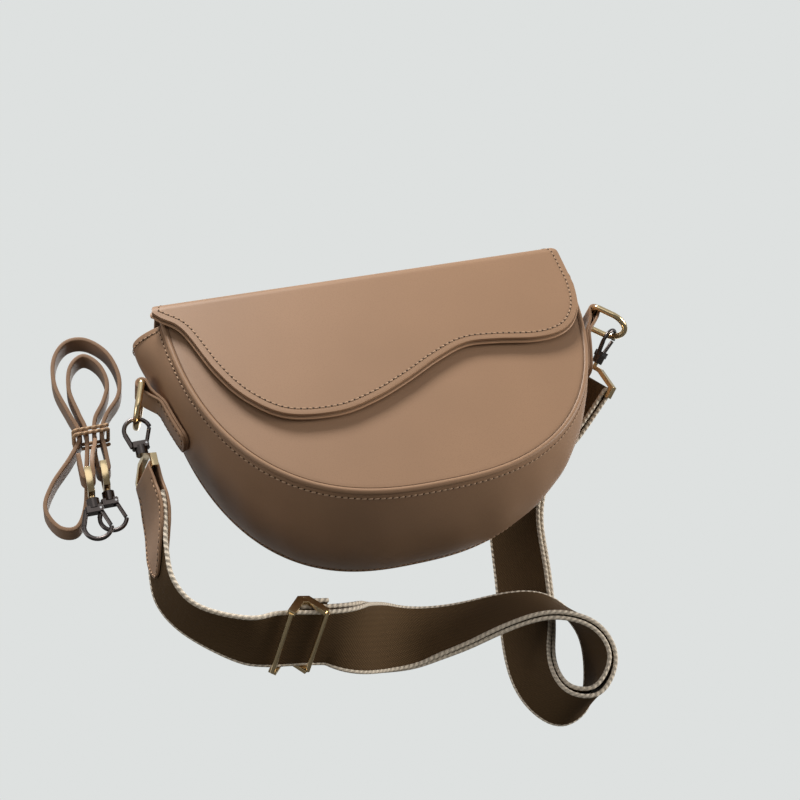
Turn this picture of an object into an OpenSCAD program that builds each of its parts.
// Saddle handbag with a drop-front flap, two ringed side tabs, a webbing shoulder
// strap clipped to both rings, and a spare narrow strap tied in a hank beside it.
// Millimetres, +Z up, the flap faces -Y. The origin is the lowest point of the
// gusset, under the middle of the bag, where a hand holds it up.

/* [Bag body] */
// Width of the front panel, seam to seam
panel_w = 240; // [225:1:255]
// Height of the front panel
panel_h = 136; // [128:1:146]
// Depth of the bag at the foot of the front panel
base_depth = 92; // [84:1:100]
// Depth of the bag at the top edge of the front panel
top_depth = 40; // [36:1:44]
// How much wider the back panel is than the front one
back_extra_w = 6; // [0:1:10]
// How much lower the back panel reaches than the front one
back_drop = 8; // [4:1:12]
// Outward swell of the gusset under the bag
base_bulge = 8; // [5:0.5:10]
// Outward swell of the gusset at its top hems
top_bulge = 10; // [6:0.5:12]
// Thickness of the outer leather
leather = 1.6; // [1.2:0.1:2]
// Roundness of the panel's sides, 2 is an ellipse
side_power = 2.6; // [2.3:0.1:3]
// Roundness of the panel's base, 2 is an ellipse
base_power = 2.3; // [2.1:0.1:2.6]

/* [Seams and lining] */
// Radius of the piping along the panel seams
bead_r = 1.7; // [1.3:0.1:2.1]
// How far the piping stands out of the panel and the gusset
bead_proud = 0.5; // [0.3:0.1:0.8]
// Thickness of the stiffening boards
board_t = 1.2; // [1:0.1:1.6]
// Margin from a panel's outline to its board
board_inset = 5; // [4:0.5:8]
// Thickness of the cloth lining
lining_t = 0.8; // [0.6:0.1:1]
// Thickness of the leather facings inside the mouth
facing_t = 1.2; // [0.8:0.1:1.4]
// Height of the leather facings inside the mouth
facing_h = 24; // [16:1:30]
// Width of the pocket on the back lining
pocket_w = 120; // [90:1:140]
// Height of the pocket on the back lining
pocket_h = 72; // [55:1:80]
// Distance of the pocket's mouth below the facing
pocket_gap = 6.5; // [4:0.5:9]

/* [Flap] */
// Height of the flap's top above the mouth of the front panel
top_rise = 10; // [9.5:0.5:13]
// Outer radius of the fold over the back panel
back_fold_r = 6; // [5.4:0.1:7]
// Outer radius of the fold over the front panel
front_fold_r = 8; // [7:0.5:10]
// Drop of the flap's lobe below the front fold
flap_drop = 87.5; // [75:0.5:95]
// Air between the front panel and the flap's lining
flap_gap = 2.6; // [2.3:0.1:3.5]
// Thickness of the flap's lining leather
flap_lining_t = 1; // [0.7:0.1:1.2]
// Radius of the two closing magnets
magnet_r = 7; // [5:0.5:9]
// Distance of the magnets from the bag's middle, on the lobe's side
magnet_side = 44; // [38:1:50]
// Distance of the magnets above the flap's lowest edge
magnet_rise = 18.7; // [16:0.1:22]

/* [Tabs and rings] */
// Distance of the ring's bar below the bag's mouth
tab_bar_drop = 29.5; // [24:0.5:36]
// Inward slope of the side tabs
tab_slope = 13; // [10:1:16]
// Length of a tab below the ring's bar
tab_len = 38; // [32:1:44]
// Radius of the ring's wire
ring_wire_r = 1.8; // [1.5:0.1:2]
// Radius of the ring's bow at the middle of its wire
ring_r = 11; // [10:0.5:13]
// Length of the ring's straight sides
ring_side = 11; // [9:0.5:13]
// Outward swing of the left ring from hanging straight
left_swing = 19; // [17:1:21]
// Outward swing of the right ring from hanging straight
right_swing = 50; // [48:1:52]

/* [Hooks] */
// Radius of the hook's wire
hook_wire_r = 1.2; // [1:0.1:1.3]
// Radius of the hook's bow at the middle of its wire
hook_r = 7; // [6.6:0.1:7.6]
// Height of the bow's centre above the hook's shoulder
hook_rise = 9.8; // [9.4:0.1:10.4]
// Radius of the swivel barrel
barrel_r = 3.4; // [3.1:0.1:3.8]
// Radius of the swivel's post
post_r = 1.25; // [1.1:0.05:1.4]
// Radius of the wire of the strap eye
eye_wire_r = 1.5; // [1.3:0.1:1.7]
// Distance from the hook's shoulder to the bar of the strap eye
eye_drop = 18.5; // [18:0.5:21]

/* [Shoulder strap] */
// Width of the webbing
webbing_w = 38; // [34:1:40]
// Thickness of the webbing
webbing_t = 1.8; // [1.4:0.1:2]
// Distance between the middles of the doubled webbing's layers
layer_pitch = 4.2; // [3.6:0.1:4.6]
// Length of the leather end from the eye's bar to its tip
end_len = 58; // [50:1:62]
// Width of the leather end at the eye's bar
end_neck_w = 30; // [26:1:31]
// Widest width of the leather end
end_w = 40; // [38:1:42]
// Distance between the slider's middle bar and each of its outer bars
slider_reach = 10; // [9:0.5:12]

/* [Spare strap] */
// Width of the spare strap
spare_w = 13; // [11:0.5:15]
// Thickness of the spare strap
spare_t = 2.2; // [1.8:0.1:2.4]
// Radius of the string tied round the hank
string_r = 1; // [0.8:0.1:1.1]

/* [Hidden] */
$fn = 48;

// Colours
leather_color = "#8a6a50";
edge_color = "#5c3a22";
lining_color = "#4a3a30";
board_color = "#9a8f80";
gold_color = "#c9a24d";
gunmetal_color = "#5a5c60";
steel_color = "#a8a8a8";
webbing_color = "#3e2d1c";
string_color = "#d9d2c4";

// Overrun of every cut, and the small gaps between pieces that are sewn or glued
cut = 1;
ply_gap = 0.05;
seam_gap = 0.1;
lining_gap = 0.3;

// Shape of the bag's body
half_depth = base_depth / 2;
front_lift = base_bulge + back_drop / 2;
lean = atan((base_depth - top_depth) / 2 / panel_h);
panel_len = panel_h / cos(lean);
mouth_up = front_lift + panel_h;
top_up = mouth_up + top_rise;
bar_up = mouth_up - tab_bar_drop;
outline_steps = 40;
depth_steps = 8;
bead_inset = bead_r - bead_proud;
seam_depth = 2 * bead_r - bead_proud + seam_gap;
gusset_lining_depth = seam_depth + lining_t + seam_gap;
facing_depth = seam_depth + lining_t + ply_gap;
pocket_foot = panel_len - facing_h - pocket_gap - pocket_h;

// Shape of the flap: its layers are counted outwards from the front panel's face
flap_board_out = flap_gap + flap_lining_t + ply_gap;
flap_skin_out = flap_board_out + board_t + ply_gap;
flap_out = flap_skin_out + leather;
flap_lining_in = flap_out - flap_gap - flap_lining_t;
front_fold_up = top_up - front_fold_r;
back_fold_up = top_up - back_fold_r;
front_fold_y = ((front_fold_up - front_lift) * sin(lean) - flap_out + front_fold_r) / cos(lean) - half_depth;
back_fold_y = half_depth - ((back_fold_up - front_lift) * sin(lean) + back_fold_r) / cos(lean);
fold_v = (front_fold_y + half_depth) * sin(lean) + (front_fold_up - front_lift) * cos(lean);
magnet_up = fold_v - flap_drop + magnet_rise;
flap_left = -panel_w / 2;
flap_right_share = 0.985;
flap_right = flap_right_share * panel_w / 2;
mitre_gap = 0.2;
// Angles round the folds, from +Y: each fold is split at its middle
front_fold_end = 180 - lean;
front_mitre = (90 + front_fold_end) / 2;
back_mitre = (90 + lean) / 2;

// Lower edge of the flap from left to right, as shares of half the panel's width
// and of the flap's drop
flap_edge_shares = [
    [-1, 0], [-0.92, 0.18], [-0.83, 0.535], [-0.73, 0.78], [-0.58, 0.955], [-0.36, 1],
    [-0.175, 0.945], [0, 0.842], [0.18, 0.715], [0.33, 0.64], [0.48, 0.65], [0.67, 0.692],
    [0.8, 0.675], [0.89, 0.6], [0.955, 0.46], [flap_right_share, 0.27], [flap_right_share, 0]
];
flap_edge_steps = 4;

// Tabs and rings
ring_corner_r = 2.2;
tab_fit = 0.25;
tab_seat = 0.3;
tab_w = 2 * (ring_r - ring_corner_r) - seam_gap;
tab_inner_r = ring_wire_r + tab_fit;
tab_outer_r = tab_inner_r + leather;
tab_wrap = 19;

// Hooks, in a frame with the bow in XZ and the swivel's post along Z
hook_start = 12;
hook_end = 197;
leg_wire_r = hook_wire_r + 0.15;
shoulder_w = 9.6;
shoulder_t = 5.5;
shoulder_top = 2.4;
shoulder_foot = -1.2;
barrel_foot = -5.4;
chamber_top = -1.8;
chamber_foot = -4.2;
head_r = 2.1;
swivel_fit = 0.1;
head_play = 0.3;
gate_r = 1.1;
gate_eye_r = 1.5;
gate_half_w = 1.2;
gate_pin_r = 0.6;
gate_pin_fit = 0.05;
gate_side_play = 0.2;
gate_floor_play = 0.2;
gate_pivot = [3.2, 0, 0.7];
gate_tip = [6.6, 0, 10.3];
eye_top_drop = 8.5;
eye_top_w = 12;
eye_side = 4.6;
eye_leg_w = 2.6;
eye_plate_t = 2 * eye_wire_r + 0.5;
eye_foot = 1.8;
eye_play = 1.6;
ring_hook_gap = 0.85;
ring_in_hook = hook_rise + hook_r - hook_wire_r - ring_hook_gap - ring_wire_r;

// Shoulder strap
end_leather = 1.4;
end_gap = 0.35;
fold_fit = 0.25;
slider_wire_r = 1.3;
slider_bar_r = 1.2;
slider_rail_t = 2.2;
slider_rail_w = 4.4;
slider_play = 0.8;
butt_gap = 0.3;
slider_tail = 15;
bar_fit = 0.03;

// Route of the shoulder strap between the bars of the two eyes: a point on the
// webbing's middle, then the direction across the webbing there
strap_stations = [
    [[-143, 1.5, 42], [0.2, -0.98, 0.03]],
    [[-147, 2.5, 18.5], [0.2, -0.98, 0.05]],
    [[-146.5, 3.5, 0], [0.18, -0.98, -0.05]],
    [[-136, 6, -16], [0.19, -0.98, 0]],
    [[-113.5, 7, -30.5], [0.16, -0.95, 0.27]],
    [[-98, 9.5, -33], [0.16, -0.88, 0.44]],
    [[-84, 13, -34.5], [0.16, -0.88, 0.44]],
    [[-70, 16.5, -36], [0.16, -0.88, 0.44]],
    [[-57, 21, -37], [0.17, -0.82, 0.54]],
    [[-43, 34, -36.5], [0.24, -0.4, 0.88]],
    [[-27, 52, -33], [0.3, 0.03, 0.95]],
    [[-8, 63, -32], [0.35, 0.35, 0.87]],
    [[18, 60.5, -33], [0.37, 0.5, 0.78]],
    [[47, 49.5, -32.5], [0.35, 0.67, 0.65]],
    [[70, 44.5, -37], [0.26, 0.82, 0.5]],
    [[89, 48.5, -52], [0.12, 0.95, 0.28]],
    [[93, 55, -73], [-0.05, 0.98, 0.2]],
    [[81, 59.5, -94], [0.07, 1, 0]],
    [[61, 62.5, -93], [-0.04, 0.97, -0.22]],
    [[54, 71, -68.5], [-0.35, 0.93, -0.12]],
    [[64, 80.5, -35], [-0.55, 0.79, 0.28]],
    [[70, 77, -3.5], [-0.56, 0.73, 0.39]],
    [[73.5, 68, 28.5], [-0.5, 0.76, 0.42]],
    [[88, 57, 57], [-0.45, 0.72, 0.53]],
    [[110, 44, 73], [-0.35, 0.64, 0.69]]
];
strap_steps = 3;
slider_station = 7;
left_bar_way = [0.2, -0.98, 0];
right_bar_way = [-0.26, 0.57, 0.78];
// Direction in which the right hook hangs, and where along the right ring's bow
right_hook_down = [-0.54, 0.6, -0.59];
ring_grip = 60;

// Route of the spare strap from one hook's eye to the other's
spare_route = [
    [-161.4, 12, 90], [-161.4, 12, 101], [-156.5, 12, 111], [-148.5, 12, 121], [-146, 12, 134],
    [-150, 12, 149], [-160, 12, 159], [-171, 12, 159], [-179, 12, 149], [-181, 12, 133],
    [-176.5, 12, 115], [-173, 12, 101], [-180, 12, 89], [-192, 12, 75], [-198, 12, 62],
    [-193, 12, 50], [-184, 12, 48], [-177.5, 12, 59], [-173.5, 12, 79], [-169.4, 12, 101],
    [-171.5, 12, 114], [-174, 12, 129], [-171, 12, 143], [-163, 12, 149], [-155.5, 12, 142],
    [-153, 12, 130], [-157, 12, 119], [-163, 12, 110], [-165.4, 12, 101], [-166, 11, 95],
    [-167.6, 5, 88], [-169.6, -2, 81], [-170.9, -4.9, 75]
];
spare_bars = [[-164.25, 12, 80], [-174, -5, 70]];
spare_steps = 2;
spare_tail = 12;
tie_up = 101;
tie_turns = 2;
tie_pitch = 2.6;
tie_corner_r = 1.5;
tie_corner_steps = 5;
tie_middle = [-167.1, 12];
tie_half = [9.3, 8.2];

// Lists and vectors
function unit(v) = v / norm(v);
function square_to(v, t) = unit(v - t * (v * t));
function last(list) = list[len(list) - 1];
function curve_point(p, i, f) =
    let (a = p[max(i - 1, 0)], b = p[i], c = p[i + 1], d = p[min(i + 2, len(p) - 1)])
    b + f / 2 * ((c - a) + f * ((2 * a - 5 * b + 4 * c - d) + f * (3 * (b - c) + d - a)));
function curve(p, steps) = [
    for (i = [0 : len(p) - 2])
        for (k = [0 : steps - 1])
            curve_point(p, i, k / steps),
    last(p)
];
function tangent(p, i) = unit(p[min(i + 1, len(p) - 1)] - p[max(i - 1, 0)]);
function angles(x, y, z) = [atan2(y[2], z[2]), -asin(x[2]), atan2(x[1], x[0])];

// A closed solid through rings of equally many points, each ring counter-clockwise
// about the way the rings run
module loft(rings) {
    k = len(rings[0]);
    end = (len(rings) - 1) * k;
    sides = [
        for (i = [0 : len(rings) - 2], j = [0 : k - 1])
            let (a = i * k + j, b = i * k + (j + 1) % k)
            each j < k / 2 ? [[a, a + k, b + k], [a, b + k, b]] : [[a, a + k, b], [a + k, b + k, b]]
    ];
    caps = [
        for (j = [0 : k / 2 - 2])
            let (a = j, b = j + 1, c = k - 2 - j, d = k - 1 - j)
            each [[a, b, c], [a, c, d], [end + c, end + b, end + a], [end + d, end + c, end + a]]
    ];
    polyhedron([for (r = rings) each r], concat(sides, caps));
}

// Outline of a strip of one thickness along a bent line in the plane
function strip_outline(line, t) =
    let (
        n = len(line),
        way = [for (i = [0 : n - 2]) unit(line[i + 1] - line[i])],
        side = [for (w = way) [-w[1], w[0]]],
        bend = [
            for (i = [0 : n - 1])
                let (a = side[max(i - 1, 0)], b = side[min(i, n - 2)])
                (a + b) / (1 + a * b)
        ]
    )
    concat(
        [for (i = [0 : n - 1]) line[i] + bend[i] * t / 2],
        [for (i = [n - 1 : -1 : 0]) line[i] - bend[i] * t / 2]
    );

// A round rod from p to q
module rod(p, q, r) {
    way = q - p;
    translate(p)
        rotate([0, acos(way[2] / norm(way)), atan2(way[1], way[0])])
            cylinder(h = norm(way), r = r);
}

// A quarter or any other part of a ring of round wire, about Z from start to stop
module wire_arc(r, wire, start, stop)
    rotate([0, 0, start])
        rotate_extrude(angle = stop - start)
            translate([r, 0])
                circle(wire);

// A profile drawn in (y, z) and run along X
module along_x(from, to)
    translate([from, 0, 0])
        rotate([90, 0, 90])
            linear_extrude(to - from)
                children();

// Panel frames: X across, Y up the panel, Z out of the bag
module front_frame()
    translate([0, -half_depth, front_lift])
        rotate([90 - lean, 0, 0])
            children();

module back_frame()
    mirror([0, 1, 0])
        front_frame()
            children();

// Outline of a panel from the top left round its base to the top right
function outline(w, drop) = [
    for (i = [0 : outline_steps])
        let (c = cos(180 * i / outline_steps), s = sin(180 * i / outline_steps))
        [
            -w / 2 * sign(c) * pow(abs(c), 2 / side_power),
            panel_len - (panel_len + drop) * pow(abs(s), 2 / base_power)
        ]
];
function edge_normal(p, i) =
    i == 0 ? [-1, 0] :
    i == len(p) - 1 ? [1, 0] :
    let (t = tangent(p, i)) [t[1], -t[0]];
function inset(p, d) = [for (i = [0 : len(p) - 1]) p[i] - d * edge_normal(p, i)];

front_outline = outline(panel_w, 0);
back_outline = outline(panel_w + back_extra_w, back_drop / cos(lean));

// A sheet with a panel's outline, its outer face so far inside the panel's face
module sheet(points, depth, t)
    translate([0, 0, -depth - t])
        linear_extrude(t)
            polygon(points);

module top_band(points, depth, t, h)
    intersection() {
        sheet(points, depth, t);
        translate([-panel_w, panel_len - h, -depth - t - cut])
            cube([2 * panel_w, h, t + 2 * cut]);
    }

// The gusset's surface: i runs round the outline, s from the front seam to the back
function panel_point(p, depth, side) = [
    p[0],
    side * (half_depth - p[1] * sin(lean) - depth * cos(lean)),
    front_lift + p[1] * cos(lean) - depth * sin(lean)
];
function bulge(i) = base_bulge + (top_bulge - base_bulge) * abs(cos(180 * i / outline_steps));
function gusset_point(i, s, in, depth) =
    let (
        nf = edge_normal(front_outline, i),
        nb = edge_normal(back_outline, i),
        n = unit([nf[0] + nb[0], 0, nf[1] + nb[1]]),
        f = panel_point(front_outline[i] - in * nf, depth, -1),
        b = panel_point(back_outline[i] - in * nb, depth, 1)
    )
    f + (b - f) * s + n * bulge(i) * 4 * s * (1 - s);

module gusset_shell(in, t, depth)
    loft([
        for (i = [0 : outline_steps])
            concat(
                [for (j = [0 : depth_steps]) gusset_point(i, j / depth_steps, in, depth)],
                [for (j = [depth_steps : -1 : 0]) gusset_point(i, j / depth_steps, in + t, depth)]
            )
    ]);

module piping(points) {
    sides = 8;
    line = inset(points, bead_inset);
    loft([
        for (i = [0 : len(line) - 1])
            let (n = edge_normal(points, i))
            [
                for (k = [0 : sides - 1])
                    let (a = 360 * (k + 0.5) / sides)
                    [
                        line[i][0] + bead_r * sin(a) * n[0],
                        line[i][1] + bead_r * sin(a) * n[1],
                        bead_r * cos(a) - bead_inset
                    ]
            ]
    ]);
}

module magnet_disc(r)
    translate([-magnet_side, magnet_up, 0])
        cylinder(h = board_t, r = r);

// Body pieces
module front_panel()
    color(leather_color)
        front_frame()
            sheet(inset(front_outline, seam_depth), 0, leather);

module back_panel()
    color(leather_color) {
        back_frame()
            sheet(inset(back_outline, seam_depth), 0, leather);
        along_x(flap_left, flap_right)
            back_fold_profile(ply_gap, leather - 2 * ply_gap, cut);
    }

// Points of an arc
arc_steps = 12;
function arc_line(centre, r, start, stop) = [
    for (k = [0 : arc_steps])
        let (a = start + (stop - start) * k / arc_steps)
        centre + r * [cos(a), sin(a)]
];

// The strip above the mouth and the lower half of the back fold, so far inside
// the back panel's face, with its foot sunk so far below the mouth
module back_fold_profile(depth, t, sunk)
    polygon(strip_outline(concat(
        [
            [half_depth - panel_h * tan(lean), mouth_up]
                + [sin(lean), -cos(lean)] * sunk - [cos(lean), sin(lean)] * (depth + t / 2)
        ],
        arc_line(
            [back_fold_y, back_fold_up], back_fold_r - depth - t / 2, lean, back_mitre - mitre_angle(back_fold_r)
        )
    ), t));

function mitre_angle(r) = asin(mitre_gap / 2 / r);

module gusset()
    color(leather_color)
        gusset_shell(0, leather, seam_depth);

module piping_front()
    color(edge_color)
        front_frame()
            piping(front_outline);

module piping_back()
    color(edge_color)
        back_frame()
            piping(back_outline);

module front_board()
    color(board_color)
        front_frame()
            difference() {
                sheet(inset(front_outline, board_inset), leather + ply_gap, board_t);
                translate([-magnet_side, magnet_up, -leather - board_t - cut])
                    cylinder(h = board_t + 2 * cut, r = magnet_r + seam_gap);
            }

module magnet_front()
    color(steel_color)
        front_frame()
            translate([0, 0, -leather - ply_gap - board_t])
                magnet_disc(magnet_r);

module lining_front()
    color(lining_color)
        front_frame()
            sheet(inset(front_outline, leather + lining_gap), seam_depth, lining_t);

module lining_back()
    color(lining_color)
        back_frame()
            sheet(inset(back_outline, leather + lining_gap), seam_depth, lining_t);

module lining_gusset()
    color(lining_color)
        gusset_shell(leather + lining_gap, lining_t, gusset_lining_depth);

facing_inset = leather + 2 * lining_gap + lining_t;

module facing_front()
    color(leather_color)
        front_frame()
            top_band(inset(front_outline, facing_inset), facing_depth, facing_t, facing_h);

module facing_back()
    color(leather_color)
        back_frame()
            top_band(inset(back_outline, facing_inset), facing_depth, facing_t, facing_h);

module fold_lining()
    color(leather_color)
        along_x(flap_left + lining_gap, flap_right - lining_gap)
            back_fold_profile(flap_lining_in, flap_lining_t, -ply_gap);

module inner_pocket()
    color(lining_color)
        back_frame()
            translate([-pocket_w / 2, pocket_foot, -facing_depth - lining_t])
                cube([pocket_w, pocket_h, lining_t]);

// The top of the flap, from the back mitre over the bag to the front mitre
module top_profile(depth, t)
    polygon(strip_outline(concat(
        arc_line(
            [back_fold_y, back_fold_up], back_fold_r - depth - t / 2, back_mitre + mitre_angle(back_fold_r), 90
        ),
        arc_line(
            [front_fold_y, front_fold_up], front_fold_r - depth - t / 2, 90,
            front_mitre - mitre_angle(front_fold_r)
        )
    ), t));

module flap_top_skin()
    color(leather_color)
        along_x(flap_left, flap_right)
            top_profile(0, leather);

module flap_top_board()
    color(board_color)
        translate([flap_left + board_inset, front_fold_y, top_up - leather - ply_gap - board_t])
            cube([flap_right - flap_left - 2 * board_inset, back_fold_y - front_fold_y, board_t]);

module flap_top_lining()
    color(leather_color)
        along_x(flap_left + lining_gap, flap_right - lining_gap)
            top_profile(flap_lining_in, flap_lining_t);

// The leaf of the flap, from the front mitre down to the S-shaped edge
flap_edge = curve([for (s = flap_edge_shares) [s[0] * panel_w / 2, fold_v - s[1] * flap_drop]], flap_edge_steps);

module leaf(in, out, t) {
    front_frame()
        translate([0, 0, out])
            linear_extrude(t)
                polygon(inset(flap_edge, in));
    r = front_fold_r - flap_out + out + t / 2;
    foot = [front_fold_y - r * cos(lean), front_fold_up + r * sin(lean)];
    along_x(flap_left + in, flap_right - in)
        polygon(strip_outline(concat(
            arc_line([front_fold_y, front_fold_up], r, front_mitre + mitre_angle(front_fold_r), front_fold_end),
            [foot - cut * [sin(lean), cos(lean)]]
        ), t - 2 * ply_gap));
}

module flap_skin()
    color(leather_color)
        leaf(0, flap_skin_out, leather);

module flap_lining()
    color(leather_color)
        leaf(lining_gap, flap_gap, flap_lining_t);

module flap_board()
    color(board_color)
        front_frame()
            difference() {
                intersection() {
                    translate([0, 0, flap_board_out])
                        linear_extrude(board_t)
                            polygon(inset(flap_edge, board_inset));
                    translate([-panel_w, fold_v - board_inset - panel_len, 0])
                        cube([2 * panel_w, panel_len, flap_out]);
                }
                translate([-magnet_side, magnet_up, 0])
                    cylinder(h = flap_out, r = magnet_r + seam_gap);
            }

module magnet_flap()
    color(steel_color)
        front_frame()
            translate([0, 0, flap_board_out])
                magnet_disc(magnet_r);

// Side tabs: two plies of leather round the ring's bar, lying down the gusset
slope_way = [cos(tab_slope), -sin(tab_slope)];
gusset_reach = max([
    for (i = [1 : outline_steps / 2])
        let (p = gusset_point(outline_steps - i, 0.5, 0, seam_depth))
        if (p[2] > bar_up - tab_len) p[0] * slope_way[0] + (p[2] - bar_up) * slope_way[1]
]);
bar_x = (gusset_reach + tab_seat + tab_outer_r) / slope_way[0];

module tab() {
    mid_r = tab_inner_r + leather / 2;
    near = leather + seam_gap - mid_r;
    turn = [mid_r * cos(tab_wrap), -mid_r * sin(tab_wrap)];
    meet = [near, turn[1] - (turn[0] - near) / tan(tab_wrap)];
    intersection() {
        rotate([90, 0, 0])
            translate([0, 0, -tab_w / 2])
                linear_extrude(tab_w)
                    polygon(strip_outline(concat(
                        [[near, -tab_len], meet],
                        arc_line([0, 0], mid_r, -tab_wrap, 180),
                        [[-mid_r, -tab_len]]
                    ), leather));
        rotate([90, 0, 90])
            translate([0, 0, -2 * tab_outer_r])
                linear_extrude(4 * tab_outer_r)
                    tab_planform();
    }
}

module tab_planform() {
    translate([0, tab_w / 2 - tab_len])
        circle(tab_w / 2);
    translate([-tab_w / 2, tab_w / 2 - tab_len])
        square([tab_w, tab_len + tab_outer_r]);
}

module at_bar(side)
    translate([side * bar_x, 0, bar_up])
        mirror([side < 0 ? 1 : 0, 0, 0])
            children();

module tab_left()
    color(leather_color)
        at_bar(-1)
            rotate([0, tab_slope, 0])
                tab();

module tab_right()
    color(leather_color)
        at_bar(1)
            rotate([0, tab_slope, 0])
                tab();

// A ring with a straight bar along Y, tight corners, two sides and a round bow
module ring() {
    straight = ring_r - ring_corner_r;
    rod([0, -straight, 0], [0, straight, 0], ring_wire_r);
    for (side = [-1, 1])
        mirror([0, side < 0 ? 1 : 0, 0]) {
            translate([0, straight, -ring_corner_r])
                rotate([90, 0, 90])
                    wire_arc(ring_corner_r, ring_wire_r, 0, 90);
            rod([0, ring_r, -ring_side], [0, ring_r, -ring_corner_r], ring_wire_r);
        }
    translate([0, 0, -ring_side])
        rotate([90, 0, 90])
            wire_arc(ring_r, ring_wire_r, 180, 360);
}

module ring_left()
    color(gold_color)
        at_bar(-1)
            rotate([0, -left_swing, 0])
                ring();

module ring_right()
    color(gold_color)
        at_bar(1)
            rotate([0, -right_swing, 0])
                ring();

// Swivel hooks. The hook is a bent wire on a shoulder with a barrel below it.
module hook() {
    bend = [hook_r * cos(hook_end), 0, hook_rise + hook_r * sin(hook_end)];
    way = [-sin(hook_end), 0, cos(hook_end)];
    foot = bend + way * (bend[2] / -way[2]);
    difference() {
        union() {
            translate([0, 0, hook_rise])
                rotate([90, 0, 0])
                    wire_arc(hook_r, hook_wire_r, hook_start, hook_end);
            rod(foot, bend - way * hook_wire_r / 2, leg_wire_r);
            intersection() {
                translate([0, 0, shoulder_foot])
                    cylinder(h = shoulder_top - shoulder_foot, r = shoulder_w / 2);
                translate([-shoulder_w, -shoulder_t / 2, shoulder_foot])
                    cube([2 * shoulder_w, shoulder_t, shoulder_top - shoulder_foot]);
            }
            translate([0, 0, barrel_foot])
                cylinder(h = -barrel_foot, r = barrel_r);
        }
        translate([0, 0, chamber_foot])
            cylinder(h = chamber_top - chamber_foot, r = head_r + swivel_fit);
        translate([0, 0, barrel_foot - cut])
            cylinder(h = chamber_foot - barrel_foot + 2 * cut, r = post_r + swivel_fit);
        translate([
            gate_pivot[0] - gate_eye_r - gate_side_play,
            -gate_half_w - gate_side_play,
            gate_pivot[2] - gate_eye_r - gate_floor_play
        ])
            cube([shoulder_w, 2 * (gate_half_w + gate_side_play), shoulder_w]);
        translate([gate_pivot[0], shoulder_t, gate_pivot[2]])
            rotate([90, 0, 0])
                cylinder(h = 2 * shoulder_t, r = gate_pin_r + gate_pin_fit / 2);
    }
}

module gate() {
    way = unit(gate_tip - gate_pivot);
    difference() {
        union() {
            translate([gate_pivot[0], gate_half_w, gate_pivot[2]])
                rotate([90, 0, 0])
                    cylinder(h = 2 * gate_half_w, r = gate_eye_r);
            rod(gate_pivot + way * gate_r, gate_tip, gate_r);
        }
        translate([gate_pivot[0], shoulder_t, gate_pivot[2]])
            rotate([90, 0, 0])
                cylinder(h = 2 * shoulder_t, r = gate_pin_r + gate_pin_fit);
    }
}

module gate_pin()
    translate([gate_pivot[0], shoulder_t / 2, gate_pivot[2]])
        rotate([90, 0, 0])
            cylinder(h = shoulder_t, r = gate_pin_r);

// The strap eye: a headed post, a flat cast frame and a round bar along Y
module eye(w) {
    side = w / 2 + eye_leg_w / 2;
    translate([0, 0, chamber_foot + head_play])
        cylinder(h = chamber_top - chamber_foot - 2 * head_play, r = head_r);
    translate([0, 0, -eye_top_drop])
        cylinder(h = eye_top_drop + chamber_foot + 2 * head_play, r = post_r);
    translate([-eye_plate_t / 2, 0, 0])
        rotate([90, 0, 90])
            linear_extrude(eye_plate_t)
                polygon(strip_outline([
                    [-side, -eye_drop - eye_foot],
                    [-side, eye_side - eye_drop],
                    [-eye_top_w / 2, -eye_top_drop],
                    [eye_top_w / 2, -eye_top_drop],
                    [side, eye_side - eye_drop],
                    [side, -eye_drop - eye_foot]
                ], eye_leg_w));
    rod([0, -side, -eye_drop], [0, side, -eye_drop], eye_wire_r);
}

// Places of the four hooks: each ring's wire lies just under its hook's bow
left_hook_at = [
    -bar_x - (ring_side + ring_r) * sin(left_swing),
    0,
    bar_up - (ring_side + ring_r) * cos(left_swing) - ring_in_hook
];
left_turn = atan2(left_bar_way[1], left_bar_way[0]) + 90;
left_bar_at = left_hook_at - [0, 0, eye_drop];
right_down = unit(right_hook_down);
right_ring_down = [sin(right_swing), 0, -cos(right_swing)];
right_grip_at = [bar_x, ring_r * sin(ring_grip), bar_up]
    + right_ring_down * (ring_side + ring_r * cos(ring_grip));
right_hook_at = right_grip_at + right_down * ring_in_hook;
right_bar_at = right_hook_at + right_down * eye_drop;
right_ring_way = square_to([0, cos(ring_grip), 0] - sin(ring_grip) * right_ring_down, right_down);
right_eye_way = square_to(right_bar_way, right_down);

module left_hook_frame()
    translate(left_hook_at)
        children();

module left_eye_frame()
    left_hook_frame()
        rotate([0, 0, left_turn])
            children();

module right_frame(y_way)
    translate(right_hook_at)
        rotate(angles(cross(y_way, -right_down), y_way, -right_down))
            children();

module spare_frame(bar)
    translate(bar - [0, 0, eye_drop])
        rotate([180, 0, 0])
            children();

module hook_left()
    color(gunmetal_color)
        left_hook_frame()
            hook();

module gate_left()
    color(gunmetal_color)
        left_hook_frame()
            gate();

module gate_pin_left()
    color(steel_color)
        left_hook_frame()
            gate_pin();

module eye_left()
    color(gold_color)
        left_eye_frame()
            eye(end_neck_w + eye_play);

module hook_right()
    color(gunmetal_color)
        right_frame(right_ring_way)
            hook();

module gate_right()
    color(gunmetal_color)
        right_frame(right_ring_way)
            gate();

module gate_pin_right()
    color(steel_color)
        right_frame(right_ring_way)
            gate_pin();

module eye_right()
    color(gold_color)
        right_frame(right_eye_way)
            eye(webbing_w + eye_play);

module hook_spare_a()
    color(gunmetal_color)
        spare_frame(spare_bars[0])
            hook();

module gate_spare_a()
    color(gunmetal_color)
        spare_frame(spare_bars[0])
            gate();

module gate_pin_spare_a()
    color(steel_color)
        spare_frame(spare_bars[0])
            gate_pin();

module eye_spare_a()
    color(gold_color)
        spare_frame(spare_bars[0])
            eye(spare_w + eye_play);

module hook_spare_b()
    color(gunmetal_color)
        spare_frame(spare_bars[1])
            hook();

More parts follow.
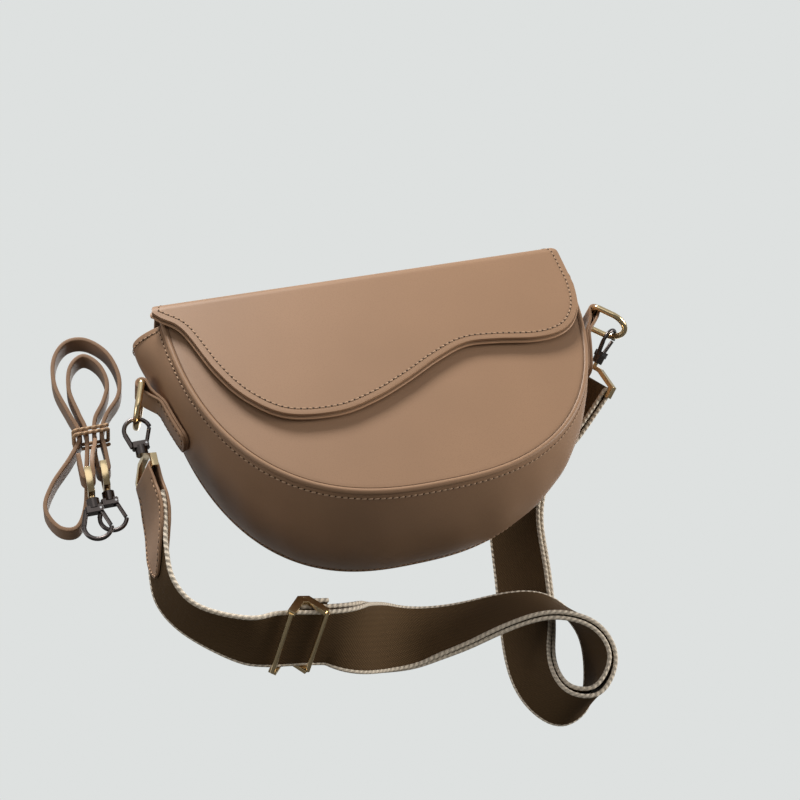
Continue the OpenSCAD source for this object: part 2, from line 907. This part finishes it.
module gate_spare_b()
    color(gunmetal_color)
        spare_frame(spare_bars[1])
            gate();

module gate_pin_spare_b()
    color(steel_color)
        spare_frame(spare_bars[1])
            gate_pin();

module eye_spare_b()
    color(gold_color)
        spare_frame(spare_bars[1])
            eye(spare_w + eye_play);

// A ribbon: rows of a point, the way along, the way across and the width there
module ribbon(rows, t)
    loft([
        for (r = rows)
            let (a = square_to(r[2], r[1]) * r[3] / 2, n = unit(cross(r[1], r[2])) * t / 2)
            [r[0] + a + n, r[0] - a + n, r[0] - a - n, r[0] + a - n]
    ]);

// Half a turn of a ribbon round a bar: from the side up, by way of over, to the
// other side, with both ways square to the bar
turn_steps = 6;
function half_turn(bar, up, over, r, across, w, from, to) = [
    for (k = [from : to])
        let (a = 180 * k / turn_steps)
        [bar + r * (cos(a) * up + sin(a) * over), cos(a) * over - sin(a) * up, across, w]
];

// The shoulder strap's middle line. It runs off each eye's bar at the fold's radius.
wrap_r = eye_wire_r + fold_fit + webbing_t / 2;
right_along = square_to(right_bar_at - last(strap_stations)[0], right_eye_way);
right_up = cross(right_along, right_eye_way);
strap_points = concat(
    [left_bar_at],
    [for (s = strap_stations) s[0]],
    [right_bar_at + right_up * wrap_r]
);
strap_ways = concat([unit(left_bar_way)], [for (s = strap_stations) unit(s[1])], [right_eye_way]);
strap_line = curve(strap_points, strap_steps);
strap_across = curve(strap_ways, strap_steps);
strap_last = len(strap_line) - 1;
function strap_along(i) = i == strap_last ? right_along : tangent(strap_line, i);
function strap_up(i) = unit(cross(strap_along(i), strap_across[i]));

// The inner layer of the doubled webbing spreads to the eye's bar over its last steps
spread_steps = 6;
function layer_drop(i) =
    let (share = max(0, 1 - (strap_last - i) / spread_steps))
    layer_pitch + (2 * wrap_r - layer_pitch) * share;

webbing_start = 2;
slider_ring = slider_station * strap_steps;

module webbing_main()
    color(webbing_color)
        ribbon(concat(
            [
                for (i = [webbing_start : strap_last])
                    [strap_line[i], strap_along(i), -strap_across[i], webbing_w]
            ],
            half_turn(right_bar_at, right_up, right_along, wrap_r, -right_eye_way, webbing_w, 1, turn_steps)
        ), webbing_t);

// Slider: its middle bar carries the end of the inner layer, and the outer layer
// runs between that bar and the two outer bars
slider_at = strap_line[slider_ring];
slider_along = strap_along(slider_ring);
slider_across = square_to(strap_across[slider_ring], slider_along);
slider_up = cross(slider_along, slider_across);
slider_wrap_r = slider_bar_r + fold_fit + webbing_t / 2;
slider_bar_drop = layer_pitch + slider_wrap_r;
slider_bar_at = slider_at - slider_up * slider_bar_drop;
slider_outer_rise = webbing_t / 2 + slider_play + slider_wire_r;
slider_half_w = webbing_w / 2 + slider_play + slider_rail_t;

module webbing_return()
    color(webbing_color)
        ribbon(concat(
            [[
                slider_bar_at - slider_up * slider_wrap_r + slider_along * slider_tail,
                -slider_along, -slider_across, webbing_w
            ]],
            half_turn(
                slider_bar_at, -slider_up, -slider_along, slider_wrap_r, -slider_across, webbing_w, 0, turn_steps
            ),
            [
                for (i = [slider_ring + 1 : strap_last])
                    [
                        strap_line[i] - strap_up(i) * layer_drop(i) - strap_along(i) * butt_gap,
                        strap_along(i), -strap_across[i], webbing_w
                    ]
            ]
        ), webbing_t);

module slider_place()
    translate(slider_at)
        rotate(angles(slider_along, slider_across, slider_up))
            children();

module slider_rail()
    translate([0, slider_half_w, 0])
        rotate([90, 0, 0])
            linear_extrude(slider_rail_t)
                polygon(strip_outline([
                    [-slider_reach, slider_outer_rise],
                    [-slider_rail_w / 2, -slider_bar_drop],
                    [slider_rail_w / 2, -slider_bar_drop],
                    [slider_reach, slider_outer_rise]
                ], slider_rail_w));

module slider_frame()
    color(gold_color)
        slider_place() {
            bar_half = slider_half_w - slider_rail_t / 2;
            difference() {
                union() {
                    slider_rail();
                    mirror([0, 1, 0])
                        slider_rail();
                }
                translate([0, slider_half_w + cut, -slider_bar_drop])
                    rotate([90, 0, 0])
                        cylinder(h = 2 * (slider_half_w + cut), r = slider_bar_r + bar_fit);
            }
            for (x = [-slider_reach, slider_reach])
                rod([x, -bar_half, slider_outer_rise], [x, bar_half, slider_outer_rise], slider_wire_r);
        }

module slider_bar()
    color(gold_color)
        slider_place()
            translate([0, slider_half_w, -slider_bar_drop])
                rotate([90, 0, 0])
                    cylinder(h = 2 * slider_half_w, r = slider_bar_r);

// The leather end of the strap: two plies folded round the left eye's bar with the
// webbing between them. Each row is a share of its length and of its widest width.
end_shares = [
    [1, 0.14], [0.97, 0.27], [0.91, 0.44], [0.82, 0.65], [0.7, 0.86], [0.56, 0.98],
    [0.42, 1], [0.3, 0.96], [0.2, 0.84]
];
end_fold_r = eye_wire_r + fold_fit + end_leather / 2;
end_lift = webbing_t / 2 + end_gap + end_leather / 2;
end_along = square_to(strap_points[1] - left_bar_at, strap_ways[0]);
end_up = cross(end_along, strap_ways[0]);
end_pitch = norm(strap_points[1] - strap_points[0]);
function strap_at(list, u) = curve_point(list, floor(u), u - floor(u));
function end_row(row, side) =
    let (
        u = row[0] * end_len / end_pitch,
        along = unit(strap_at(strap_points, u + 0.05) - strap_at(strap_points, u - 0.05)),
        across = strap_at(strap_ways, u),
        up = unit(cross(along, across))
    )
    [strap_at(strap_points, u) + side * up * end_lift, -side * along, -across, row[1] * end_w];

module strap_end()
    color(leather_color)
        ribbon(concat(
            [for (row = end_shares) end_row(row, 1)],
            half_turn(left_bar_at, end_up, -end_along, end_fold_r, -strap_ways[0], end_neck_w, 0, turn_steps),
            [for (k = [len(end_shares) - 1 : -1 : 0]) end_row(end_shares[k], -1)]
        ), end_leather);

// The spare strap, folded round the bars of its two eyes
spare_fold_r = eye_wire_r + fold_fit + spare_t / 2;
spare_across = [0, 1, 0];
spare_up = [0, 0, 1];
spare_side = [1, 0, 0];
spare_curve = curve(concat(
    [spare_bars[0] + spare_side * spare_fold_r],
    spare_route,
    [spare_bars[1] + spare_side * spare_fold_r]
), spare_steps);
spare_last = len(spare_curve) - 1;
function spare_along(i) = i == 0 ? spare_up : i == spare_last ? -spare_up : tangent(spare_curve, i);
function spare_end(bar) = bar - spare_side * spare_fold_r + spare_up * spare_tail;

module spare_strap()
    color(leather_color)
        ribbon(concat(
            [[spare_end(spare_bars[0]), -spare_up, spare_across, spare_w]],
            half_turn(
                spare_bars[0], -spare_side, -spare_up, spare_fold_r, spare_across, spare_w, 0, turn_steps - 1
            ),
            [for (i = [0 : spare_last]) [spare_curve[i], spare_along(i), spare_across, spare_w]],
            half_turn(spare_bars[1], spare_side, -spare_up, spare_fold_r, spare_across, spare_w, 1, turn_steps),
            [[spare_end(spare_bars[1]), spare_up, spare_across, spare_w]]
        ), spare_t);

// String wound round the hank's strands
tie_count = 4 * (tie_corner_steps + 1);
function tie_point(k) =
    let (
        corner = floor(k / (tie_corner_steps + 1)) % 4,
        a = 90 * corner + 90 * (k % (tie_corner_steps + 1)) / tie_corner_steps,
        sx = corner == 0 || corner == 3 ? 1 : -1,
        sy = corner < 2 ? 1 : -1
    )
    [
        tie_middle[0] + sx * (tie_half[0] - tie_corner_r) + tie_corner_r * cos(a),
        tie_middle[1] + sy * (tie_half[1] - tie_corner_r) + tie_corner_r * sin(a),
        tie_up + tie_pitch * (k / tie_count - tie_turns / 2)
    ];
tie_line = [for (k = [0 : tie_turns * tie_count - 1]) tie_point(k)];
tie_sides = 6;

module spare_tie()
    color(string_color)
        loft([
            for (i = [0 : len(tie_line) - 1])
                let (t = tangent(tie_line, i), e = square_to(spare_up, t), f = cross(t, e))
                [
                    for (k = [0 : tie_sides - 1])
                        let (a = 360 * k / tie_sides)
                        tie_line[i] + string_r * (cos(a) * e + sin(a) * f)
                ]
        ]);

// Least gap of a line to itself, between points far enough apart along it
finer_steps = 6;
function finer(p) = [
    for (i = [0 : len(p) - 2], k = [0 : finer_steps - 1])
        p[i] + (p[i + 1] - p[i]) * k / finer_steps
];
function runs(p) = [for (i = 0, d = 0; i < len(p); i = i + 1, d = d + (i < len(p) ? norm(p[i] - p[i - 1]) : 0)) d];
function least_gap(p, near, t) =
    let (fine = finer(p), run = runs(fine))
    min([
        for (i = [0 : len(fine) - 2], j = [i + 1 : len(fine) - 1])
            if (run[j] - run[i] > near) norm(fine[i] - fine[j]) - t
    ]);
gap_run = 14;
echo(spare_strap_least_gap = least_gap(spare_curve, gap_run, spare_t));
echo(spare_tie_least_gap = least_gap(tie_line, gap_run, 2 * string_r));

front_panel();
back_panel();
gusset();
piping_front();
piping_back();
front_board();
magnet_front();
lining_front();
lining_back();
lining_gusset();
facing_front();
facing_back();
fold_lining();
inner_pocket();
flap_top_skin();
flap_top_board();
flap_top_lining();
flap_skin();
flap_board();
magnet_flap();
flap_lining();
tab_left();
tab_right();
ring_left();
ring_right();
hook_left();
gate_left();
gate_pin_left();
eye_left();
hook_right();
gate_right();
gate_pin_right();
eye_right();
hook_spare_a();
gate_spare_a();
gate_pin_spare_a();
eye_spare_a();
hook_spare_b();
gate_spare_b();
gate_pin_spare_b();
eye_spare_b();
strap_end();
webbing_main();
webbing_return();
slider_frame();
slider_bar();
spare_strap();
spare_tie();
